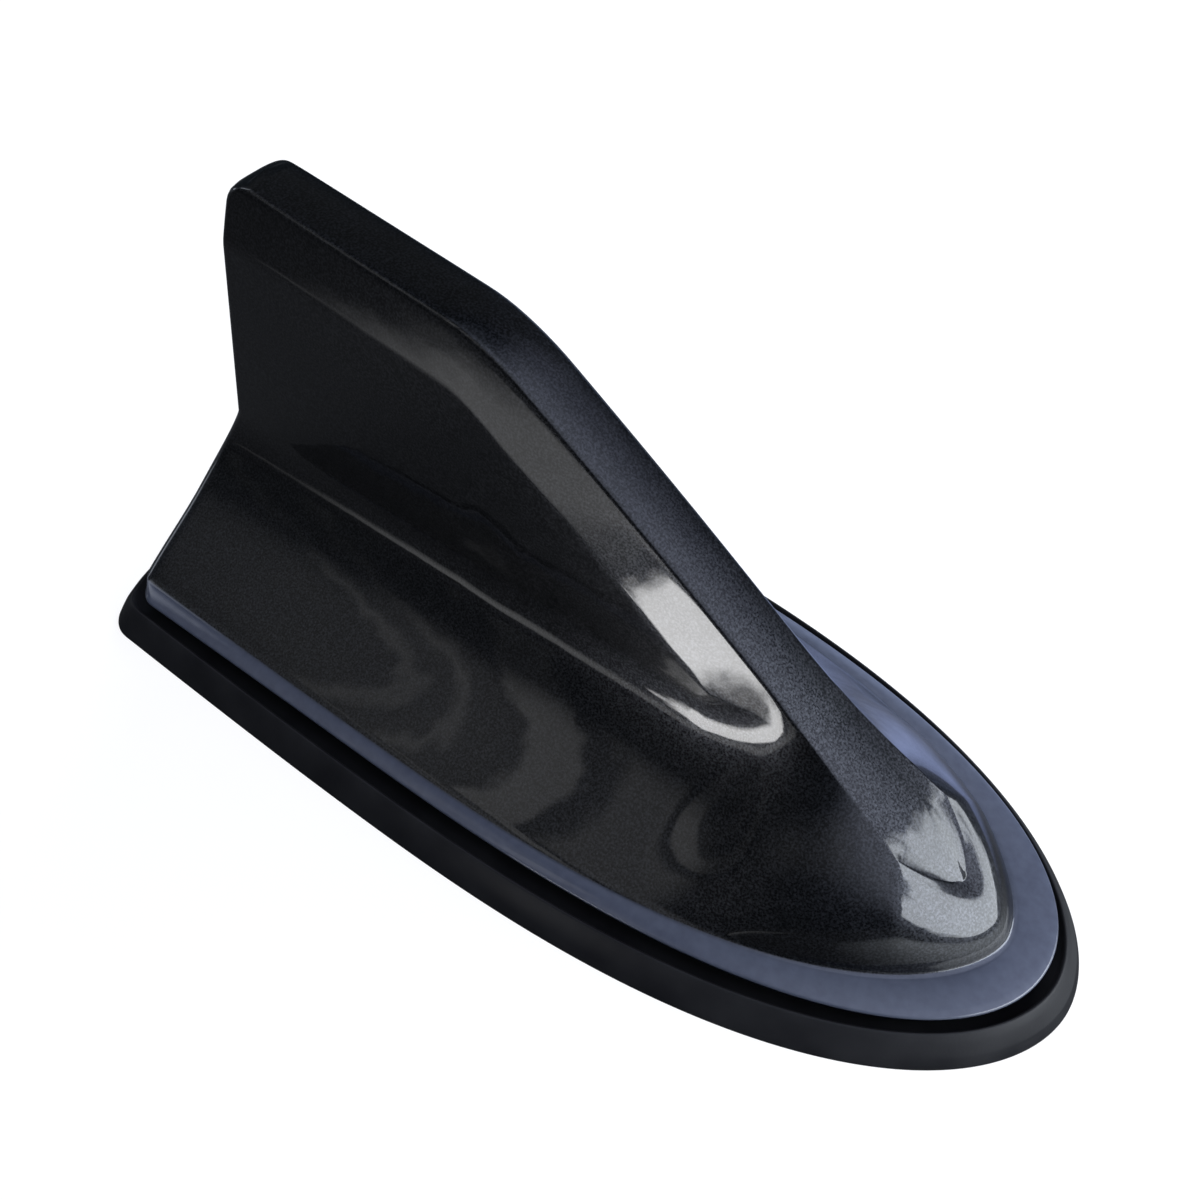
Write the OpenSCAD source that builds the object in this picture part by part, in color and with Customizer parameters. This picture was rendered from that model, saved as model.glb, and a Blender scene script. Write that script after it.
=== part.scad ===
// Shark fin roof aerial: a sealed painted cover on a rubber gasket, with the
// radio amplifier, the wound radiator and the satellite patch inside.
// Millimetres. +X points to the nose, +Z up, and z = 0 is the roof skin.

/* [Gasket] */
// How far the gasket's foot stands out ahead of the cover's edge
gasket_ahead = 5; // [4.6:0.1:9]
// How far the foot stands out behind the cover's edge
gasket_behind = 3.6; // [3.2:0.1:8]
// How far the foot stands out beside the cover's edge at its widest
gasket_side = 5.6; // [4.6:0.1:9]
// How far the foot stands out beside the edge where the rear rounding starts
gasket_rear_side = 4.7; // [4.6:0.1:9]
// Height of the rim's crest
gasket_h = 5.3; // [4.8:0.1:6]
// Height where the steep outer wall turns into the bevelled rim
gasket_shoulder = 4.1; // [3.6:0.1:4.4]
// Width in plan of the outer wall
gasket_slope = 2.1; // [1:0.1:2.3]
// Width in plan of the bevelled rim
gasket_rim = 1; // [0.8:0.1:1.2]
// Height of the ledge that the cover sits on
ledge_h = 3.4; // [2.9:0.1:3.9]
// How far the inner lip reaches under the cover's edge
gasket_reach = 5; // [4.6:0.1:6]

/* [Cover outline] */
// Frame centre to the nose of the cover's edge
edge_nose = 78.6; // [77.3:0.1:84]
// Half width of the cover's edge along the middle
edge_half = 32.6; // [32:0.1:36]
// Half width of the cover's edge where the rear rounding starts
edge_rear_half = 32.8; // [32.2:0.1:36]
// Frame centre to the rear of the cover's edge
edge_rear = 80; // [79.6:0.1:84]
// Height of the underside of the edge
edge_z = 6.6; // [6.2:0.1:7]
// Thickness of the edge
edge_t = 0.7; // [0.5:0.1:1]
// Nose of the crease where the wall leaves the brim
wall_nose = 72.2; // [71:0.1:73]
// Half width of that crease along the middle
wall_half = 30.3; // [29:0.1:30.6]
// Half width of that crease at the rear
wall_rear_half = 30; // [29:0.1:30.6]
// Height of that crease
crease_z = 8.2; // [7.8:0.1:8.8]
// Where all outlines are widest
widest_x = -27.5; // [-30:0.1:-22]

/* [Fin] */
// Height of the blade's top at its rear end
fin_h = 78.3; // [74:0.1:84]
// Fall of the top towards the nose
top_slope = 7.6; // [5:0.1:10]
// Where the top bends down into the front
bend_x = -14; // [-16:0.1:-11]
// Height of the spine where the front runs into the domed nose
shoulder_h = 31.5; // [30:0.1:33]
// Crown of the front's line
front_crown = 0.8; // [0:0.1:1.5]
// Where the front runs into the domed nose
shoulder_x = 41.5; // [39:0.1:44]
// Fullness of the domed nose
nose_full = 1.25; // [1.15:0.05:1.6]
// Half width of the flat spine
spine_half = 4.5; // [4.2:0.1:5.5]
// Crown of the spine across its width
spine_crown = 0.4; // [0.3:0.1:0.8]
// Length of the bevel under the spine on the top
bevel_top = 9.8; // [8:0.1:11]
// Length of the bevel under the spine on the front
bevel_front = 11.6; // [9:0.1:13]
// Lean of the bevel from upright
bevel_lean = 11.5; // [8:0.5:14]
// Lean of the blade's sides from upright
side_lean = 1; // [0:0.5:2]
// Height at which the sides start to flare
waist_z = 33; // [30:0.1:36]
// Slope of the flare where it meets the brim
flare_slope = 36; // [32:1:42]
// Height of the narrowest part of the rear edge
rear_waist_z = 48; // [44:0.5:52]
// Frame centre to the rear edge at that height
rear_waist = 63.6; // [62.6:0.1:64.2]
// How far the rear edge leans forward to the top
rear_lean = 4.8; // [4:0.1:7]
// Rounding of the blade's rear top corner
top_round = 3.2; // [2.5:0.1:4]
// How far the rear edge runs back to the foot
rear_flare = 9; // [7:0.1:9.4]
// How far the rear face bulges on the blade
rear_bulge = 2; // [1.6:0.1:2.6]
// How far the rear face bulges at the foot
foot_bulge = 6; // [5:0.1:6.4]
// Wall thickness of the cover
wall = 2; // [1.6:0.1:2.4]

/* [Seats] */
// Inset of the skirt under the cover's edge
skirt_inset = 1.4; // [1.2:0.1:1.6]
// Thickness of the skirt
skirt_t = 1.8; // [1.6:0.1:1.9]
// Clearance between loosely fitted pieces
clear = 0.3; // [0.2:0.05:0.4]

/* [Base] */
// Thickness of the adhesive pad
pad_t = 1.2; // [0.8:0.1:1.4]
// Margin of the pad inside the base plate
pad_margin = 2; // [1.5:0.5:4]
// Thickness of the base plate's floor
floor_t = 2; // [1.8:0.1:2.4]
// Width of the base plate's raised rim
rim_w = 3.2; // [2.6:0.1:4]
// Height of the base plate's rim above its flange
rim_h = 1.8; // [1.4:0.1:2.2]

/* [Cover screws] */
// Distance of the rear screws behind the frame centre
screw_rear_x = 58; // [57:0.5:60]
// Half spacing of the rear screws
screw_rear_y = 19; // [18:0.5:20]
// Distance from the outlet's middle to the front screws
screw_front_gap = 7; // [6:0.5:9]
// Half spacing of the front screws
screw_front_y = 16; // [15.5:0.5:17]
// Radius of the screw's thread
screw_r = 1.45; // [1.3:0.05:1.6]
// Radius of the screw's head
head_r = 2.7; // [2.5:0.1:3]
// Height of the screw's head
head_h = 1.8; // [1.6:0.1:2]
// Height of the joint between the screw columns and the cover's bosses
boss_z = 7; // [6.6:0.1:7.4]
// Radius of the cover's bosses
boss_r = 3; // [2.8:0.1:3.4]
// Thread length that bites in a boss
bite = 3; // [2.5:0.1:3.4]

/* [Amplifier board] */
// Rear end of the board
board_rear = -50; // [-51:0.5:-48]
// Distance from the board's front end to the outlet's middle
board_gap = 13; // [12:0.5:15]
// Half width of the board
board_half = 13; // [12.5:0.5:14]
// Thickness of both boards
board_t = 1.6; // [1:0.1:2]
// Height of both boards' underside
board_z = 6.2; // [5.8:0.1:6.6]
// Distance from the board's ends and sides to its screws
board_inset = 3.5; // [3:0.1:4]
// Radius of the board screws' thread
small_r = 1; // [0.9:0.05:1.2]
// Radius of the board screws' head
small_head_r = 1.9; // [1.7:0.1:2.1]
// Radius of the board's posts
post_r = 2.4; // [2.2:0.1:2.6]
// Thickness of the ground plate
ground_t = 0.5; // [0.4:0.1:0.8]
// Rear end of the shield can
can_rear = -25; // [-28:0.5:-22]
// Length of the shield can
can_l = 20; // [16:0.5:22]
// Half width of the shield can
can_half = 9; // [7:0.5:10]
// Height of the shield can
can_h = 3.6; // [3:0.1:5]
// Thickness of its sheet
can_t = 0.3; // [0.2:0.05:0.4]
// Side of the amplifier chip
chip_side = 5; // [3:0.5:7]
// Radius of the filter coils
drum_r = 2.2; // [1.5:0.1:2.6]
// Height of the filter coils
drum_h = 3.2; // [2:0.1:4]

/* [Sockets] */
// Length of both sockets
socket_l = 9; // [7:0.5:9]
// Half width of both sockets
socket_half = 3.5; // [3:0.1:4]
// Height of both sockets
socket_h = 6; // [5:0.5:6]
// Radius of the sockets' mouth
socket_r = 2.4; // [1.8:0.1:2.4]

/* [Radiator] */
// Distance of the coil's axis behind the frame centre
mast_x = 36; // [34:0.5:38]
// Radius of the coil's former
former_r = 2.1; // [1.8:0.1:2.2]
// Radius of the wire
wire_r = 0.4; // [0.3:0.05:0.45]
// Height of the first turn
coil_low = 14; // [13:0.5:16]
// Distance from the last turn up to the top plate
coil_gap = 9.5; // [7:0.1:14]
// Number of turns
turns = 16; // [10:1:18]
// Distance from the blade's upright rear edge to the top plate
top_plate_gap = 3.8; // [3.4:0.1:5]
// Length of the top plate
top_plate_l = 34; // [24:1:36]
// Half width of the top plate
top_plate_half = 1.8; // [1.6:0.1:1.9]
// Thickness of the top plate
top_plate_t = 0.4; // [0.3:0.05:0.5]
// Depth of the top plate's folded sides
top_plate_leg = 5; // [3:0.5:6]
// Thickness of the foam between the top plate and the cover
foam_t = 1.2; // [0.8:0.1:1.6]

/* [Satellite patch] */
// Distance from the crease's nose to the satellite board
sat_gap = 9.2; // [8:0.1:10]
// Length of the satellite board
sat_l = 23.5; // [22:0.5:24]
// Half width of the satellite board
sat_half = 9.5; // [9.2:0.1:10]
// Side of the square patch
patch_side = 17; // [15:0.5:18]
// Thickness of the patch
patch_t = 4; // [2:0.1:5]
// Side of the patch's metal face
face_side = 14; // [12:0.5:14.5]
// Thickness of the tape under the patch
tape_t = 0.5; // [0.3:0.1:0.8]

/* [Cable outlet] */
// Distance from the outlet's middle to the satellite board
outlet_gap = 10.5; // [10:0.1:11]
// Radius of the outlet's bore
outlet_r = 2.6; // [2:0.1:3]
// Radius of the hole in the base plate
outlet_hole_r = 4.4; // [4.2:0.1:4.6]
// Radius of the grommet's flanges
outlet_flange_r = 5.6; // [5.4:0.1:5.8]

/* [Hidden] */

// Stations along an outline, from the nose to the middle of the rear
nose_steps = 20;
side_steps = 6;
rear_steps = 8;
last = nose_steps + side_steps + rear_steps;

// Small helpers
function mix(a, b, u) = a + (b - a) * u;
function clamp01(u) = min(max(u, 0), 1);
function ease(u) = let (c = clamp01(u)) c * c * (3 - 2 * c);
function soft_min(a, b, k) = let (h = clamp01(0.5 + 0.5 * (b - a) / k)) mix(b, a, h) - k * h * (1 - h);
function soft_max(a, b, k) = -soft_min(-a, -b, k);
function bezier(a, b, c, d, t) = a * pow(1 - t, 3) + 3 * b * t * pow(1 - t, 2) + 3 * c * t * t * (1 - t)
    + d * pow(t, 3);

// An outline is [nose, half width, rear half width, rear bulge, rear, nose, width and rear powers]
foot_line = [edge_nose + gasket_ahead, edge_half + gasket_side, edge_rear_half + gasket_rear_side, 10.6,
    edge_rear + gasket_behind, 2.83, 1.92, 3];
edge_line = [edge_nose, edge_half, edge_rear_half, 9.5, edge_rear, 2.9, 2.04, 2.2];
wall_line = [wall_nose, wall_half, wall_rear_half, foot_bulge, rear_waist + rear_flare + foot_bulge,
    2.95, 1.75, 3.2];
function inset(o, d) = [o[0] - d, o[1] - d, o[2] - d, o[3] - min(d, o[3] - 1) * 0.5, o[4] - d,
    o[5], o[6], o[7]];

// Progress of station i along the nose, the side and the rear rounding
function nose_angle(i) = 90 * clamp01(i / nose_steps);
function side_part(i) = clamp01((i - nose_steps) / side_steps);
function rear_angle(i) = 90 * clamp01((i - nose_steps - side_steps) / rear_steps);
function side_grow(u) = pow(u, 1.5);
function cap_sin(i, p) = pow(sin(rear_angle(i)), 2 / p);
function cap_cos(i, p) = i >= last ? 0 : pow(cos(rear_angle(i)), 2 / p);

// Half width of an outline at station i, and its place along X
function plan_x(o, i) = let (c = cos(nose_angle(i)), start = -(o[4] - o[3]))
    i <= nose_steps ? mix(widest_x, o[0], i == nose_steps ? 0 : c)
    : mix(widest_x, start, side_part(i)) - o[3] * cap_sin(i, o[7]);
function plan_y(o, i) = i == 0 ? 0
    : i <= nose_steps ? o[1] * pow(1 - pow(cos(nose_angle(i)), o[5]), 1 / o[6])
    : mix(o[1], o[2], side_grow(side_part(i))) * cap_cos(i, o[7]);

// Side view of the fin: the spine's height, with the cover's thickness t taken off
function top_line(x) = fin_h - (x + rear_waist - rear_lean) * tan(top_slope);
front_fall = (top_line(bend_x) - shoulder_h) / (shoulder_x - bend_x);
function front_line(x) = top_line(bend_x) - (x - bend_x) * front_fall
    + front_crown * max(0, sin(180 * (x - bend_x) / (shoulder_x - bend_x)));
function dome_line(x, t) = crease_z - 0.8 * t + (shoulder_h - 0.4 - crease_z)
    * pow(min(1.1, max(0, (wall_nose - t - x) / (wall_nose - shoulder_x))), 1 / nose_full);
function spine_z(x, t) = soft_max(soft_min(top_line(x), front_line(x), 4) - 1.1 * t, dome_line(x, t), 1);

// Rear edge of the fin at height z, and how far the rear face bulges behind it
function rear_edge(z) = -rear_waist + (z > rear_waist_z
    ? rear_lean * pow((z - rear_waist_z) / (fin_h - rear_waist_z), 1.7)
    : -rear_flare * ease((rear_waist_z - z) / (rear_waist_z - 18)));
function bulge(z) = mix(rear_bulge, foot_bulge, clamp01((waist_z + 3 - z) / (waist_z + 3 - crease_z)));

// One rib of the cover's outer (t = 0) or inner skin, as points [x, y, z] from the crease to the spine
flare_steps = 8;
function corner(i, v) = top_round * pow(side_part(i), 8) * (1 - sqrt(1 - v * v));
function rib_place(i, z, y, fx, t, top_z) = i <= nose_steps ? [fx, y, z]
    : [mix(widest_x, rear_edge(z) + t, side_part(i)) - bulge(z) * cap_sin(i, wall_line[7])
       + corner(i, clamp01((z - top_z + top_round) / top_round)),
       y * cap_cos(i, wall_line[7]), z];
function rib(i, t) = let (
    o = inset(wall_line, 0.65 * t),
    foot = [plan_x(o, i), i <= nose_steps ? plan_y(o, i) : mix(o[1], o[2], side_grow(side_part(i)))],
    flat_x = plan_x(o, min(i, nose_steps)),
    fan = ease((flat_x - shoulder_x) / (wall_nose - shoulder_x)),
    spine_x = i <= nose_steps ? mix(flat_x, shoulder_x + 0.73 * (flat_x - shoulder_x), clamp01(fan * 3))
        : mix(widest_x, rear_edge(fin_h) + t, side_part(i)) + corner(i, 1),
    top_z = spine_z(spine_x, t),
    wide = spine_half - t + 1.7 * pow(max(0, spine_x - 30) / 24, 2),
    half = i == 0 ? 0 : min(wide, 0.45 * foot[1]),
    low_z = crease_z - 0.8 * t,
    open = 64 * ease((spine_x - 22) / 40),
    drop = mix(bevel_top, bevel_front, ease((spine_x - bend_x + 6) / 12)),
    bevel_l = max(min(drop, top_z - waist_z), 0.6),
    bevel_a = max(bevel_lean, open),
    b_r = bevel_l * sin(bevel_a),
    b_z = top_z - bevel_l * cos(bevel_a),
    side_l = max(b_z - waist_z, 0.6),
    side_a = max(side_lean, open),
    w_r = b_r + side_l * sin(side_a),
    w_z = b_z - side_l * cos(side_a),
    away = [foot[0] - spine_x, foot[1] - half],
    run = i <= nose_steps ? norm(away) : away[1],
    way = i <= nose_steps ? away / norm(away) : [0, 1],
    chord = norm([run - w_r, w_z - low_z]),
    base_a = mix(flare_slope, 72, ease((spine_x - 24) / 28)),
    p1 = [w_r + 0.37 * chord * sin(open), w_z - 0.37 * chord * cos(open)],
    p2 = [run - 0.37 * chord * cos(base_a), low_z + 0.37 * chord * sin(base_a)],
    flare = [for (k = [0:flare_steps]) bezier([run, low_z], p2, p1, [w_r, w_z], k / flare_steps)],
    rest = [mix([w_r, w_z], [b_r, b_z], 0.5), [b_r, b_z], mix([b_r, b_z], [0, top_z], 0.6),
        mix([b_r, b_z], [0, top_z], 0.85), [0, top_z]],
    mid_x = spine_x - 2 * fan,
    near_x = mix(spine_x, mid_x, 0.5),
    near_z = spine_z(near_x, t) + 0.75 * spine_crown
) concat([for (q = concat(flare, rest))
        rib_place(i, q[1], half + way[1] * q[0], spine_x + way[0] * q[0], t, top_z)],
    [rib_place(i, near_z, half * 0.5, near_x, t, top_z),
     rib_place(i, spine_z(mid_x, t) + spine_crown, 0, mid_x, t, top_z)]);

// The cover's edge and skirt, outside and inside
function edge_points(i, d, z) = let (o = inset(edge_line, d)) [plan_x(o, i), plan_y(o, i), z];
function outer_rib(i) = concat([edge_points(i, skirt_inset, ledge_h), edge_points(i, skirt_inset, edge_z),
    edge_points(i, 0, edge_z), edge_points(i, 0, edge_z + edge_t)], rib(i, 0));
function inner_rib(i) = concat([edge_points(i, skirt_inset + skirt_t, ledge_h),
    edge_points(i, skirt_inset + skirt_t, crease_z - wall)], rib(i, wall));

// Skin of one side and its mirror image, sharing the points on the middle plane
function skin_points(ribs) = let (n = len(ribs[0])) concat(
    [for (r = ribs) for (p = r) p],
    [for (k = [1:last - 1]) for (j = [0:n - 2]) let (p = ribs[k][j]) [p[0], -p[1], p[2]]]);
function skin_index(n, left, k, j) = (!left || k == 0 || k == last || j == n - 1) ? k * n + j
    : (last + 1) * n + (k - 1) * (n - 1) + j;
function turn(face, flip) = flip ? [face[2], face[1], face[0]] : face;
function skin_faces(n, base, flip) = [for (left = [false, true]) for (k = [0:last - 1]) for (j = [0:n - 2])
    let (a = base + skin_index(n, left, k, j), b = base + skin_index(n, left, k + 1, j),
        c = base + skin_index(n, left, k + 1, j + 1), d = base + skin_index(n, left, k, j + 1),
        back = (left != flip))
    each k < nose_steps ? [turn([a, b, d], back), turn([b, c, d], back)]
        : [turn([a, b, c], back), turn([a, c, d], back)]];
function seam_faces(n, m, base) = [for (left = [false, true]) for (k = [0:last - 1])
    let (a = skin_index(n, left, k, 0), b = skin_index(n, left, k + 1, 0),
        c = base + skin_index(m, left, k + 1, 0), d = base + skin_index(m, left, k, 0))
    each [turn([a, b, c], left), turn([a, c, d], left)]];

// Closed solid between stacked loops that all follow outlines
function loop_points(o, z) = concat([for (i = [0:last]) [plan_x(o, i), plan_y(o, i), z]],
    [for (i = [last - 1:-1:1]) [plan_x(o, i), -plan_y(o, i), z]]);
loop_n = 2 * last;
module ring_solid(loops) {
    count = len(loops);
    polyhedron(points = [for (l = loops) each l],
        faces = [for (r = [0:count - 1]) for (i = [0:loop_n - 1])
            let (s = (r + 1) % count, j = (i + 1) % loop_n)
            each [[r * loop_n + i, s * loop_n + j, r * loop_n + j],
                [r * loop_n + i, s * loop_n + i, s * loop_n + j]]]);
}
module plan_shape(o) {
    polygon([for (p = loop_points(o, 0)) [p[0], p[1]]]);
}

// Places along X that follow from the nose
sat_rear = wall_nose - sat_gap - sat_l;
outlet_x = sat_rear - outlet_gap;
board_front = outlet_x - board_gap;
screw_front_x = outlet_x + screw_front_gap;

// Heights
floor_z = pad_t + floor_t;
board_top = board_z + board_t;
post_places = [for (x = [board_rear + board_inset, board_front - board_inset]) for (s = [-1, 1])
    [x, s * (board_half - board_inset)]];
tab_places = [mix(board_rear, board_front, 0.25), mix(board_rear, board_front, 0.75)];
sat_posts = [for (x = [sat_rear + post_r, sat_rear + sat_l - post_r]) for (s = [-1, 1])
    [x, s * (sat_half - post_r)]];
patch_x = sat_rear + sat_l - patch_side / 2 - 0.3;
tape_top = board_top + tape_t;
face_t = 0.2;
pin_r = 0.4;
thread_gap = 0.05;
lip = inset(edge_line, gasket_reach + clear);
flange = inset(edge_line, skirt_inset + skirt_t + clear);

// Underside of the cover's roof, and of what hangs under it, at the place x
function roof(x) = spine_z(x, wall);
top_plate_x = rear_waist - rear_lean - top_plate_gap - top_plate_l / 2;
function plate_under(x) = roof(-top_plate_x) - (x + top_plate_x) * tan(top_slope)
    - (foam_t + top_plate_t) / cos(top_slope);

// Middle of the cover's wall over a boss, and how steeply it falls outwards there
function skin_z(i, y, t) = lookup(y, [for (p = rib(i, t)) [p[1], p[2]]]);
function wall_z(i, y) = (skin_z(i, y, 0) + skin_z(i, y, wall)) / 2;
function wall_fall(i, y) = atan((wall_z(i, y - 2) - wall_z(i, y + 2)) / 4);
function boss_station(x) = x > widest_x
    ? nose_steps * acos((x - widest_x) / (wall_nose - widest_x)) / 90
    : nose_steps + side_steps * (x - widest_x) / (rear_edge(2 * boss_z) - widest_x);
screw_places = concat([for (s = [-1, 1]) [-screw_rear_x, s * screw_rear_y]],
    [for (s = [-1, 1]) [screw_front_x, s * screw_front_y]]);

module bosses() {
    for (p = screw_places) {
        i = boss_station(p[0]);
        y = abs(p[1]);
        top = wall_z(i, y);
        difference() {
            translate([p[0], p[1], boss_z]) cylinder(r = boss_r, h = top - boss_z + boss_r, $fn = 32);
            translate([p[0], p[1], top]) rotate([-sign(p[1]) * wall_fall(i, y), 0, 0])
                translate([-2 * boss_r, -2 * boss_r, 0]) cube([4 * boss_r, 4 * boss_r, 4 * boss_r]);
        }
    }
}

module fin_cover() {
    outer = [for (i = [0:last]) outer_rib(i)];
    inner = [for (i = [0:last]) inner_rib(i)];
    n = len(outer[0]);
    m = len(inner[0]);
    outer_points = skin_points(outer);
    base = len(outer_points);
    color([0.13, 0.13, 0.15]) difference() {
        union() {
            polyhedron(points = concat(outer_points, skin_points(inner)),
                faces = concat(skin_faces(n, 0, true), skin_faces(m, base, false), seam_faces(n, m, base)));
            bosses();
        }
        for (p = screw_places) translate([p[0], p[1], boss_z - 1])
            cylinder(r = screw_r + thread_gap, h = bite + 1.2, $fn = 24);
    }
}

module base_gasket() {
    crest = gasket_slope + gasket_rim;
    color([0.05, 0.05, 0.05]) ring_solid([
        loop_points(foot_line, 0),
        loop_points(inset(foot_line, 0.15), 0.7),
        loop_points(inset(foot_line, gasket_slope), gasket_shoulder),
        loop_points(inset(foot_line, crest - 0.1), gasket_h - 0.1),
        loop_points(inset(foot_line, crest + 0.1), gasket_h),
        loop_points(inset(foot_line, crest + 0.4), gasket_h - 0.3),
        loop_points(inset(foot_line, crest + 0.8), ledge_h),
        loop_points(inset(edge_line, gasket_reach), ledge_h),
        loop_points(inset(edge_line, gasket_reach), 0)]);
}

module base_plate() {
    column_r = head_r + clear + 1;
    rib_t = 1.2;
    rib_y = (board_half + edge_half) / 2;
    rib_l = board_front - board_rear;
    color([0.2, 0.2, 0.22]) difference() {
        union() {
            translate([0, 0, pad_t]) linear_extrude(height = floor_t) plan_shape(lip);
            translate([0, 0, floor_z]) linear_extrude(height = ledge_h - floor_z) difference() {
                plan_shape(lip);
                plan_shape(inset(flange, rim_w));
            }
            translate([0, 0, ledge_h]) linear_extrude(height = rim_h) difference() {
                plan_shape(flange);
                plan_shape(inset(flange, rim_w));
            }
            for (p = screw_places) translate([p[0], p[1], floor_z - 1])
                cylinder(r = column_r, h = boss_z - floor_z + 1, $fn = 40);
            for (p = concat(post_places, sat_posts)) translate([p[0], p[1], floor_z - 1])
                cylinder(r = post_r, h = board_z - floor_z + 1, $fn = 28);
            for (s = [-1, 1]) translate([board_rear + board_inset, s * rib_y - rib_t / 2, floor_z - 1])
                cube([rib_l, rib_t, 1 + rim_h]);
        }
        for (p = screw_places) {
            translate([p[0], p[1], pad_t - 1]) cylinder(r = head_r + clear, h = floor_t + 1, $fn = 40);
            translate([p[0], p[1], floor_z - 1]) cylinder(r = screw_r + clear, h = 10, $fn = 24);
        }
        for (p = post_places) translate([p[0], p[1], pad_t + 0.8])
            cylinder(r = small_r + thread_gap, h = 10, $fn = 20);
        translate([outlet_x, 0, 0]) cylinder(r = outlet_hole_r, h = 10, $fn = 48);
    }
}

module adhesive_pad() {
    color([0.75, 0.1, 0.08]) linear_extrude(height = pad_t) difference() {
        plan_shape(inset(lip, pad_margin));
        translate([outlet_x, 0]) circle(r = outlet_flange_r + clear, $fn = 48);
        for (p = screw_places) translate([p[0], p[1]]) circle(r = head_r + 2 * clear, $fn = 40);
    }
}

module cover_screws() {
    color([0.75, 0.76, 0.78]) for (p = screw_places) translate([p[0], p[1], floor_z]) difference() {
        union() {
            translate([0, 0, -head_h]) cylinder(r = head_r, h = head_h, $fn = 40);
            translate([0, 0, -0.5]) cylinder(r = screw_r, h = boss_z - floor_z + bite + 0.5, $fn = 24);
        }
        for (a = [0, 90]) rotate([0, 0, a]) translate([-1.5, -0.35, -head_h - 1]) cube([3, 0.7, 1.9]);
    }
}

module ground_plate() {
    margin = 2;
    rear = board_rear - margin;
    half = board_half + margin + 1;
    tab_l = 3;
    tab_y = board_half - 1;
    color([0.8, 0.8, 0.78]) {
        translate([0, 0, floor_z]) linear_extrude(height = ground_t) difference() {
            translate([rear, -half]) square([board_front + margin - rear, 2 * half]);
            for (p = post_places) translate([p[0], p[1]]) circle(r = post_r + clear, $fn = 28);
            for (x = tab_places) for (s = [-1, 1])
                translate([x + ground_t, s * tab_y - tab_l / 2 - clear]) square([tab_l, tab_l + 2 * clear]);
        }
        for (x = tab_places) for (s = [-1, 1]) translate([x, s * tab_y - tab_l / 2, floor_z])
            cube([ground_t, tab_l, board_z - floor_z]);
    }
}

module amplifier_board() {
    color([0.05, 0.3, 0.15]) translate([0, 0, board_z]) difference() {
        translate([board_rear, -board_half, 0]) cube([board_front - board_rear, 2 * board_half, board_t]);
        for (p = post_places) translate([p[0], p[1], -1])
            cylinder(r = small_r + clear, h = board_t + 2, $fn = 20);
    }
}

module shield_can() {
    color([0.78, 0.79, 0.8]) translate([can_rear, -can_half, board_top]) difference() {
        cube([can_l, 2 * can_half, can_h]);
        translate([can_t, can_t, -1]) cube([can_l - 2 * can_t, 2 * (can_half - can_t), can_h - can_t + 1]);
        for (x = [0.25, 0.5, 0.75]) translate([can_l * x, can_half, 0])
            cylinder(r = 0.7, h = can_h + 1, $fn = 20);
    }
}

module amplifier_chip() {
    color([0.08, 0.08, 0.09]) translate([can_rear + can_l / 2 - chip_side / 2, -chip_side / 2, board_top])
        cube([chip_side, chip_side, 1]);
}

module filter_coils() {
    flange_t = 0.6;
    row_x = (can_rear + can_l + board_front - socket_l + 4) / 2;
    row_y = (board_half + 1) / 2;
    color([0.25, 0.22, 0.2]) for (y = [-row_y, 0, row_y]) translate([row_x, y, board_top]) {
        cylinder(r = drum_r, h = flange_t, $fn = 32);
        cylinder(r = drum_r * 0.8, h = drum_h - 0.1, $fn = 32);
        translate([0, 0, drum_h - flange_t]) cylinder(r = drum_r, h = flange_t, $fn = 32);
    }
}

module board_capacitors() {
    chip_l = 2;
    chip_w = 1.2;
    rear_x = board_rear + board_inset;
    near_can = can_rear - 3;
    color([0.62, 0.52, 0.4]) for (p = [[rear_x, 3], [rear_x, -3], [near_can, 6], [near_can, 2],
        [near_can, -4], [can_rear + can_l + 1, 3.5], [can_rear + can_l + 1, -3.5]])
        translate([p[0], p[1] - chip_l / 2, board_top]) cube([chip_w, chip_l, 1]);
}

module board_screws() {
    color([0.8, 0.8, 0.78]) for (p = post_places) translate([p[0], p[1], board_top]) difference() {
        union() {
            cylinder(r = small_head_r, h = 1.2, $fn = 32);
            translate([0, 0, -board_t - 2.6]) cylinder(r = small_r, h = board_t + 3, $fn = 20);
        }
        for (a = [0, 90]) rotate([0, 0, a]) translate([-1, -0.25, 0.6]) cube([2, 0.5, 1]);
    }
}

module coil_former() {
    step_z = plate_under(-mast_x) - top_plate_leg - 1;
    tip_r = top_plate_half - top_plate_t - clear;
    color([0.85, 0.85, 0.8]) difference() {
        translate([-mast_x, 0, board_top]) {
            cylinder(r = former_r, h = step_z - board_top, $fn = 32);
            cylinder(r = tip_r, h = plate_under(-mast_x) + 1 - board_top, $fn = 24);
        }
        translate([-mast_x, 0, plate_under(-mast_x)]) rotate([0, top_slope, 0])
            translate([-5, -5, 0]) cube(10);
    }
}

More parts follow.
